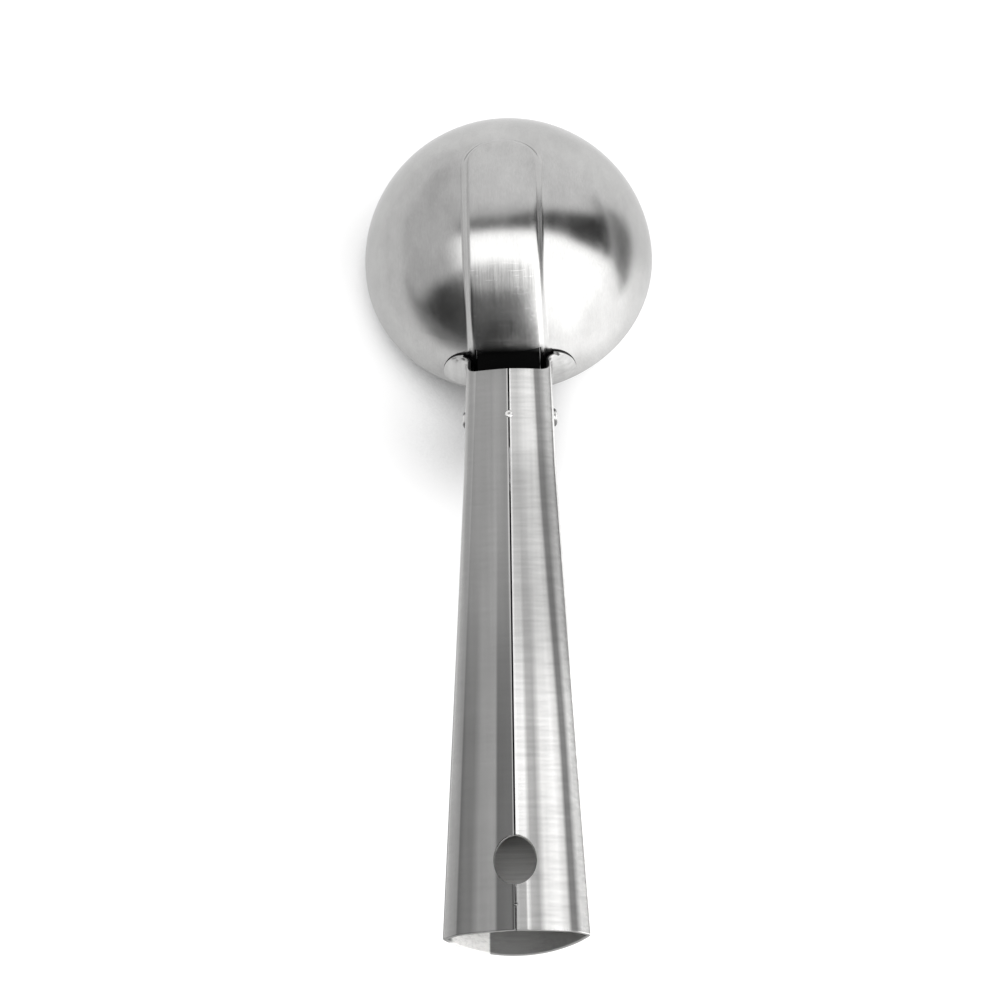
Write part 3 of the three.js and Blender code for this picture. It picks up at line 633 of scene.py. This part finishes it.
def add_turned(mesh, profile, place_of, around=32):
    """A turned form: profile pairs are a radius and a height along the axis, which place_of sets in space."""
    rings = []
    for radius, height in profile:
        if radius < 1e-6:
            rings.append([mesh.verts.new(laid_down(place_of(0.0, 0.0, height)))])
            continue
        turns = np.linspace(0, 2 * math.pi, around, endpoint=False)
        rings.append([mesh.verts.new(laid_down(place_of(radius * math.cos(t), radius * math.sin(t), height)))
                      for t in turns])
    for low, high in zip(rings, rings[1:]):
        for k in range(around):
            following = (k + 1) % around
            below = [low[k % len(low)], low[following % len(low)]]
            above = [high[following % len(high)], high[k % len(high)]]
            mesh.faces.new(list(dict.fromkeys(below + above)))


weld_steel, place, shader = new_finish("weld_steel")
grain = place.noise(3500.0, 3.0)
cloud = place.noise(900.0, 2.0)
_, along, _ = place.parts()
end_bead = along.between(-0.05, -0.07)
tone = (0.7 + 0.2 * cloud) * (1 - 0.65 * end_bead)
dress(shader, tone, 0.34 + 0.1 * grain, grain + cloud, 0.00001)
weld_mesh = bmesh.new()
for weld_u, bead_radius, pit_share in bead_sizes:
    ridge = mixed(heights, weld_u / sheet_length)
    pitted = [(r * pit_share if r < 0.4 else r, h) for r, h in bead_profile]
    closed_profile = [(0.0, -0.5), (0.9, -0.5)] + pitted
    add_turned(weld_mesh, [(r * bead_radius, h) for r, h in closed_profile],
               lambda a, b, h: on_handle(a, weld_u + b, ridge + h))
welds = make_piece("seam_welds", weld_mesh, weld_steel)
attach(welds, "scoop_body")


# Pivot rivet
# A turned stainless rivet through both side walls of the mouth. It carries the lever and the spring, and each
# of its low domed heads has a small flat in the middle where it was closed.
pin_radius = 1.4
head_radius = 1.85
head_height = 0.75
head_seat = 8.75
left_head_rise = 1.4
head_profile = [(pin_radius, 0.0), (head_radius - 0.06, 0.0), (head_radius, 0.06), (head_radius, 0.24),
                (head_radius - 0.08, 0.36), (1.55, 0.55), (1.2, 0.68), (0.95, head_height - 0.01),
                (0.85, head_height - 0.06), (0.7, head_height - 0.09), (0.0, head_height - 0.09)]
rivet_steel, place, shader = new_finish("rivet_steel")
grain = place.stretched(1.0, 0.4, 0.4).noise(2600.0, 2.0)
_, along, _ = place.parts()
# Painted highlight: a lighter band along the middle line of each head
off_middle = along - float(pivot_place[1])
painted_head_highlight = off_middle.between(-0.0011, -0.0005) * off_middle.between(0.0011, 0.0005)
dress(shader, 0.12 + grain.swing(0.08) + 0.5 * painted_head_highlight, 0.24 + 0.12 * grain, grain, 0.000003)
rivet_mesh = bmesh.new()
left_head = [(r, -head_seat - left_head_rise * h) for r, h in head_profile[::-1]]
rivet_profile = left_head + [(r, head_seat + h) for r, h in head_profile]
add_turned(rivet_mesh, rivet_profile, lambda a, b, h: np.array([h, pivot_y + a, pivot_z + b]))
rivet = make_piece("cross_rivet", rivet_mesh, rivet_steel)
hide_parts("pivot_rivet")
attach(rivet, "scoop_body")


# Ejector tongue
# A 0.8 mm stainless strip pressed to the bowl's curve, so that it lies flush in the channel. Its tail bends
# out through the window and is welded on the lever, and there it is painted black as shade.
tongue_sheet = 0.8
tongue_half = 6.3
tongue_arch = channel_arch - 1.45
tongue_bend = 3.0
tongue_lap = 5.5
lap_middle = 10.7
tongue_radius = bowl_radius - bowl_sheet + tongue_sheet / 2
arc_steps = 46
bend_steps = 12


def add_strip(mesh, line, normals, halves, crowns, thick, inner_finish=0):
    """A bent strip: its middle line and outward normals in side view, half widths and crosswise crowning."""
    across = np.concatenate([[-1, -0.975], np.linspace(-0.92, 0.92, 17), [0.975, 1]])
    x = halves[:, None] * across[None, :]
    sag = crowns[:, None] * (tongue_radius - np.sqrt(tongue_radius ** 2 - x ** 2))
    faces = []
    for offset in (thick / 2, -thick / 2):
        y = line[:, 0, None] + normals[:, 0, None] * (offset - sag)
        z = line[:, 1, None] + normals[:, 1, None] * (offset - sag)
        faces.append(np.stack([x, y, z], -1))
    add_sheet(mesh, faces[0], faces[1], inner_finish=inner_finish)


tip_turn = np.radians(np.concatenate([[89, 86, 82], np.linspace(77, 6, 14)]))
leave = math.asin((lap_middle + tongue_bend) / (tongue_radius + tongue_bend))
tip_y = channel_straight + tongue_arch * np.sin(tip_turn)
on_arc = np.concatenate([np.arccos(-tip_y / tongue_radius),
                         np.linspace(math.acos(-channel_straight / tongue_radius), leave, arc_steps)])
arc_half = np.concatenate([tongue_half * np.cos(tip_turn), np.full(arc_steps, tongue_half)])
bend_turn = np.linspace(leave, math.pi / 2, bend_steps + 1)[1:]
bend_centre = np.array([-math.cos(leave), math.sin(leave)]) * (tongue_radius + tongue_bend)
arc_line = np.stack([-np.cos(on_arc), np.sin(on_arc)], -1) * tongue_radius
bend_line = bend_centre + np.stack([np.cos(bend_turn), -np.sin(bend_turn)], -1) * tongue_bend
lap_run = np.array([2.0, 4.0, tongue_lap - 0.1, tongue_lap])
lap_steps = len(lap_run)
lap_line = np.stack([bend_centre[0] - lap_run, np.full(lap_steps, lap_middle)], -1)
turn_all = np.concatenate([on_arc, bend_turn, np.full(lap_steps, math.pi / 2)])
tongue_line = np.concatenate([arc_line, bend_line, lap_line])
tongue_normals = np.stack([-np.cos(turn_all), np.sin(turn_all)], -1)
tongue_halves = np.concatenate([arc_half, np.full(bend_steps + lap_steps, tongue_half)])
flattening = np.linspace(1, 0, bend_steps + 1)[1:]
tongue_crowns = np.concatenate([np.ones(len(on_arc)), flattening, np.zeros(lap_steps)])

tongue_finishes = []
for finish_name in ("painted_shade_steel", "tongue_steel"):
    finish, place, shader = new_finish(finish_name)
    _, along, _ = place.parts()
    cloud = place.noise(120.0, 3.0)
    drawn = place.stretched(1.0, 0.06, 0.06).noise(2400.0, 3.0, 0.6)
    tone = 0.52 + 0.06 * cloud + drawn.swing(0.05)
    dress(shader, tone, 0.26 + 0.06 * cloud + drawn.swing(0.1), drawn, 0.0000025)
    if finish_name == "painted_shade_steel":
        # Painted shade: the tail is turned flat black from the window down to the lap
        paint_shade(shader, along.between(0.0378, 0.0358) * along.between(0.0215, 0.0235))
    tongue_finishes.append(finish)
painted_shade_steel, tongue_steel = tongue_finishes
tongue_mesh = bmesh.new()
add_strip(tongue_mesh, tongue_line, tongue_normals, tongue_halves, tongue_crowns, tongue_sheet,
          inner_finish=1)
tongue = make_piece("swing_tongue", tongue_mesh, painted_shade_steel, tongue_steel)
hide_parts("ejector_tongue")
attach(tongue, "ejector")


# Thumb lever
# A 1 mm stainless pressing: a web under the tongue's tail, two ears bored for the rivet, and an arm that
# leaves through the slot in the handle's front and ends in a thumb pad with a curled tip.
lever_sheet = 1.0
lever_travel = math.radians(30)
web_middle = 9.5
web_front = 7.6
web_rear = 6.0
web_half = 5.375
arm_half = 5.0
pad_start = 13.0
pad_length = 21.0
pad_half = 7.0
pad_tip = 4.0
tip_narrowing = 2.6
tip_roundness = 0.98
lever_bends = (3.0, 4.0, 4.0)
corner_steps = 12
pad_curl = math.radians(32)
pad_level = -1.4
pivot_along = 9.5076
ear_radius = 2.5
ear_shoulder = 4.4
ear_bore = 1.6


def turned(point, angle):
    """A point in side view turned about the pivot."""
    y, z = point[0] - pivot_y, point[1] - pivot_z
    return np.array([pivot_y + y * math.cos(angle) - z * math.sin(angle),
                     pivot_z + y * math.sin(angle) + z * math.cos(angle)])


def bent_line(corners, bends):
    """A line through corners in side view, each inner corner rounded to its bend, with its headings."""
    line = []
    for k, corner in enumerate(corners):
        before = (corner - corners[k - 1]) / np.linalg.norm(corner - corners[k - 1]) if k else None
        after = None
        if k < len(corners) - 1:
            after = (corners[k + 1] - corner) / np.linalg.norm(corners[k + 1] - corner)
        if before is None or after is None:
            line.append((corner, after if before is None else before))
            continue
        turn = math.atan2(before[0] * after[1] - before[1] * after[0], before.dot(after))
        start = corner - before * bends[k - 1] * math.tan(abs(turn) / 2)
        centre = start + np.array([-before[1], before[0]]) * math.copysign(bends[k - 1], turn)
        for angle in np.linspace(0, turn, corner_steps):
            spin = np.array([[math.cos(angle), -math.sin(angle)], [math.sin(angle), math.cos(angle)]])
            line.append((centre + spin @ (start - centre), spin @ before))
    return line


pad_from = turned(on_handle(0, pivot_along + pad_start, pad_level)[1:], lever_travel)
pad_to = turned(on_handle(0, pivot_along + pad_start + pad_length, pad_level)[1:], lever_travel)
pad_heading = (pad_to - pad_from) / np.linalg.norm(pad_to - pad_from)
curl_heading = np.array([pad_heading[0] * math.cos(pad_curl) - pad_heading[1] * math.sin(pad_curl),
                         pad_heading[0] * math.sin(pad_curl) + pad_heading[1] * math.cos(pad_curl)])
lever_corners = [np.array([pivot_y + web_front, web_middle]), np.array([pivot_y - web_rear, web_middle]),
                 pad_from, pad_to, pad_to + curl_heading * (pad_tip - 0.08)]
lever_path = bent_line(lever_corners, lever_bends)
lever_points = np.array([at for at, _ in lever_path])
turns = np.unwrap([math.atan2(towards[1], towards[0]) for _, towards in lever_path])
run = np.concatenate([[0], np.cumsum(np.linalg.norm(np.diff(lever_points, axis=0), axis=1))])
steps = np.unique(np.concatenate([run, np.linspace(0, run[-1], 90), [0.1, run[-1] - 0.1, run[-1] - 0.5]]))
lever_line = np.stack([np.interp(steps, run, lever_points[:, k]) for k in (0, 1)], -1)
lever_turn = np.interp(steps, run, turns)
lever_normals = np.stack([np.sin(lever_turn), -np.cos(lever_turn)], -1)
pad_begins = run[1 + corner_steps]
pad_ends = run[-1]
lever_halves = web_half + (arm_half - web_half) * smooth(run[1] - 2.0, run[1], steps)
lever_halves = lever_halves + (pad_half - arm_half) * smooth(pad_begins, pad_begins + 6.0, steps)
tip_share = np.clip((steps - (pad_ends - pad_tip)) / pad_tip, 0, 1)
lever_halves = lever_halves - tip_narrowing * (1 - np.sqrt(1 - tip_roundness * tip_share ** 2))
lever_mesh = bmesh.new()
add_strip(lever_mesh, lever_line, lever_normals, lever_halves, np.zeros(len(steps)), lever_sheet)
ear_turns = np.linspace(0, 2 * math.pi, 65)
ear_top = web_middle - pivot_z
ear_side = math.atan2(ear_top, ear_shoulder)
outline = []
for t in ear_turns:
    if t >= math.pi:
        outline.append(ear_radius)
    elif ear_side <= t <= math.pi - ear_side:
        outline.append(ear_top / math.sin(t))
    else:
        lean = (ear_shoulder - ear_radius) / ear_top
        outline.append(ear_radius / (abs(math.cos(t)) - lean * math.sin(t)))
outline = np.array(outline)
for ear_side_x in (web_half, -web_half + lever_sheet):
    ear_faces = []
    for x in (ear_side_x, ear_side_x - lever_sheet):
        rows = []
        for share in (0, 0.06, 0.3, 0.6, 0.94, 1):
            radius = ear_bore + (outline - ear_bore) * share
            rows.append(np.stack([np.full(len(ear_turns), x), pivot_y + radius * np.cos(ear_turns),
                                  pivot_z + radius * np.sin(ear_turns)], -1))
        ear_faces.append(np.array(rows))
    add_sheet(lever_mesh, ear_faces[0], ear_faces[1], lip=0.05)
lever = make_piece("lever_pressing", lever_mesh, tongue_steel)
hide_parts("thumb_lever")
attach(lever, "ejector")


# Return spring
# A torsion spring of 0.8 mm spring wire wound on the rivet. One leg bears on the inside of the handle's front
# and the other lifts the lever's web, so the coil winds up as the lever is pressed.
wire_radius = 0.4
wire_sides = 12
coil_radius = 2.2
coil_pitch = 1.35
coil_turns = 4
lever_leg = 6.4
handle_leg_u = pivot_along - 6.0
leg_target = on_handle(0, handle_leg_u, handle_sheet + weld_gap + wire_radius)[1:]
leg_reach = leg_target - np.array([pivot_y, pivot_z])
leg_distance = np.linalg.norm(leg_reach)
first_turn = math.atan2(leg_reach[1], leg_reach[0]) - math.acos(coil_radius / leg_distance)
sweep = (first_turn - math.pi / 2) % (2 * math.pi) + 2 * math.pi * coil_turns
coil_half = coil_pitch * sweep / (4 * math.pi)
leg_length = math.sqrt(leg_distance ** 2 - coil_radius ** 2)
coil_share = np.linspace(0, 1, 130)
coil_turn = first_turn - sweep * coil_share
coil = np.stack([coil_half * (2 * coil_share - 1), pivot_y + coil_radius * np.cos(coil_turn),
                 pivot_z + coil_radius * np.sin(coil_turn)], -1)
leg_heading = np.array([0, -math.sin(first_turn), math.cos(first_turn)])
handle_leg = coil[0] + leg_heading * np.linspace(leg_length, 0, 8)[:-1, None]
web_leg = coil[-1] + np.array([0, 1, 0]) * np.linspace(0, lever_leg, 8)[1:, None]
wire_path = np.concatenate([handle_leg, coil, web_leg])
wire_heading = np.gradient(wire_path, axis=0)
wire_heading /= np.linalg.norm(wire_heading, axis=1, keepdims=True)
spring_mesh = bmesh.new()
first_side = np.array([1.0, 0, 0])
rings = []
for at, towards in zip(wire_path, wire_heading):
    first_side = first_side - towards * first_side.dot(towards)
    first_side /= np.linalg.norm(first_side)
    second_side = np.cross(towards, first_side)
    turns_round = np.linspace(0, 2 * math.pi, wire_sides, endpoint=False)
    rings.append([spring_mesh.verts.new(laid_down(
        at + wire_radius * (math.cos(t) * first_side + math.sin(t) * second_side))) for t in turns_round])
for low, high in zip(rings, rings[1:]):
    for k in range(wire_sides):
        following = (k + 1) % wire_sides
        spring_mesh.faces.new([low[k], low[following], high[following], high[k]])
spring_mesh.faces.new(rings[0])
spring_mesh.faces.new(rings[-1])
spring_steel, place, shader = new_finish("spring_steel")
grain = place.noise(1500.0, 2.0)
dress(shader, 0.34 + 0.08 * grain, 0.2 + 0.12 * grain, grain, 0.000002)
spring = make_piece("coil_spring", spring_mesh, spring_steel)
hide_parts("return_spring")
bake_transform(spring)


# Table, light and camera
# A pale table top, a soft white room light from the right and above, and the camera almost straight above.
floor_mesh = bmesh.new()
bmesh.ops.create_grid(floor_mesh, x_segments=1, y_segments=1, size=6)
floor_data = bpy.data.meshes.new("table_top")
floor_mesh.to_mesh(floor_data)
floor_mesh.free()
table_top = bpy.data.objects.new("table_top", floor_data)
bpy.context.scene.collection.objects.link(table_top)
table_top.location.z = -0.0002

# The table carries a painted shadow where the scoop hides the light and a painted pool of light to the right,
# and it is painted dark in two places that only the steel mirrors
table_white = bpy.data.materials.new("table_white")
table_white.use_nodes = True
tree = table_white.node_tree
tree.nodes.clear()
matt = tree.nodes.new("ShaderNodeBsdfDiffuse")
glow = tree.nodes.new("ShaderNodeEmission")
rays = tree.nodes.new("ShaderNodeLightPath")
in_steel = Wire(tree, rays.outputs["Is Glossy Ray"])
seen = Wire(tree, rays.outputs["Is Camera Ray"]) + in_steel
seen = seen + Wire(tree, rays.outputs["Is Transmission Ray"])
open_sky = seen.node("ShaderNodeAmbientOcclusion", {"samples": 6},
                     {"Distance": 0.042, "Normal": (0.62, 0.45, 0.64)}, 1)
from_right, from_front, _ = Wire(tree).node("ShaderNodeTexCoord", output="Object").parts()
# A painted pool of light on the table to the right of the scoop
painted_light_pool = from_right.between(0.01, 0.04) * from_front.between(0.07, 0.03)
flag = from_right.between(0.055, 0.075) * from_front.between(0.032, 0.046)
flag = flag * (from_front - 0.58 * from_right).between(0.062, 0.026) * from_right.between(0.45, 0.36)
left_flag = from_right.between(-0.03, -0.08) * (0.15 + 0.6 * from_front.between(0.02, -0.04))
flag = (0.75 * flag + left_flag) * in_steel
# Painted shadow: the table's glow is dimmed where the scoop hides the sky
shade = open_sky.between(0.88, 0.46) * from_front.between(0.005, 0.026) * from_front.between(0.085, 0.065)
shade = shade * (1 - 0.9 * from_right.between(0.0, 0.014))
shine = seen * (1 - shade) * (0.75 + 0.25 * painted_light_pool) * (1 - flag)
tree.links.new(shine.socket, glow.inputs["Color"])
paleness = (0.4 + 0.5 * painted_light_pool) * (1 - flag)
tree.links.new(paleness.socket, matt.inputs["Color"])
both = tree.nodes.new("ShaderNodeAddShader")
tree.links.new(matt.outputs[0], both.inputs[0])
tree.links.new(glow.outputs[0], both.inputs[1])
end = tree.nodes.new("ShaderNodeOutputMaterial")
tree.links.new(both.outputs[0], end.inputs["Surface"])
floor_data.materials.append(table_white)

# A soft box reaches from overhead round to the right of a plain white room, with dark gaps beside it
plain_level = 0.8
soft_box_level = 1.6
room = bpy.data.worlds.new("room")
bpy.context.scene.world = room
room.use_nodes = True
tree = room.node_tree
tree.nodes.clear()
heading = Wire(tree).node("ShaderNodeTexCoord", output="Generated")
to_right, to_far, to_top = heading.parts()
above_edge = to_far + 0.11 * to_right.between(0.6, 1.0)
overhead = to_far.between(-0.36, -0.25) * above_edge.between(0.14, 0.06) * to_right.between(-0.75, -0.45)
low_right = to_top.between(0.3, 0.05) * to_far.between(-0.25, -0.05)
right_side = to_right.between(0.28, 0.42) * above_edge.between(0.14, 0.06) * (1 - 0.9 * low_right)
soft_box = overhead.sum("MAXIMUM", overhead, right_side)
gap_edge = to_far - 0.12 * to_right.between(0.0, 0.6)
gap = above_edge.between(0.10, 0.16) * gap_edge.between(0.34, 0.22) * to_right.between(-0.7, -0.42)
gap = gap * (0.88 + 0.06 * to_right.between(0.0, 0.4))
front_edge = to_far - 0.24 * to_right.between(-0.35, -0.65)
front = front_edge.between(-0.52, -0.72) * to_right.between(0.36, 0.16) * to_right.between(-1.0, -0.85)
front = front * (0.72 + 0.18 * to_right.between(-0.3, -0.65))
low_front = to_far.between(-0.8, -0.97)
plain = 1.0 + 0.4 * to_right.between(-0.65, -0.25) * to_far.between(0.3, 0.5)
low_side = to_right.between(0.75, 0.95) * to_top.between(0.25, 0.05) * to_far.between(-0.12, -0.02)
plain = plain * (1 - gap) * (1 - front) * (1 - 0.7 * low_front) * (1 - 0.85 * low_side)
light = plain_level * plain + soft_box * soft_box_level
backdrop = tree.nodes.new("ShaderNodeBackground")
tree.links.new(light.socket, backdrop.inputs["Color"])
end = tree.nodes.new("ShaderNodeOutputWorld")
tree.links.new(backdrop.outputs[0], end.inputs["Surface"])

sensor_width = 36
focal_pixels = 3827
picture_pixels = 1000
camera_data = bpy.data.cameras.new("camera")
camera_data.sensor_width = sensor_width
camera_data.lens = sensor_width * focal_pixels / picture_pixels
camera_data.clip_end = 50
camera = bpy.data.objects.new("camera", camera_data)
camera_rows = np.array([[0.9986, -0.0174, -0.0501], [0.0358, 0.9189, 0.3928], [0.0392, -0.3941, 0.9182]])
level = np.array([[1, 0, 0], [0, tilt_cos, tilt_sin], [0, -tilt_sin, tilt_cos]])
right, up, back = (level @ row for row in camera_rows)
stand = laid_down([27.766, -360.968, 715.162])
camera.matrix_world = Matrix([[right[k], up[k], back[k], stand[k]] for k in range(3)] + [[0, 0, 0, 1]])
bpy.context.scene.collection.objects.link(camera)
bpy.context.scene.camera = camera
bpy.context.scene.view_settings.view_transform = "Standard"
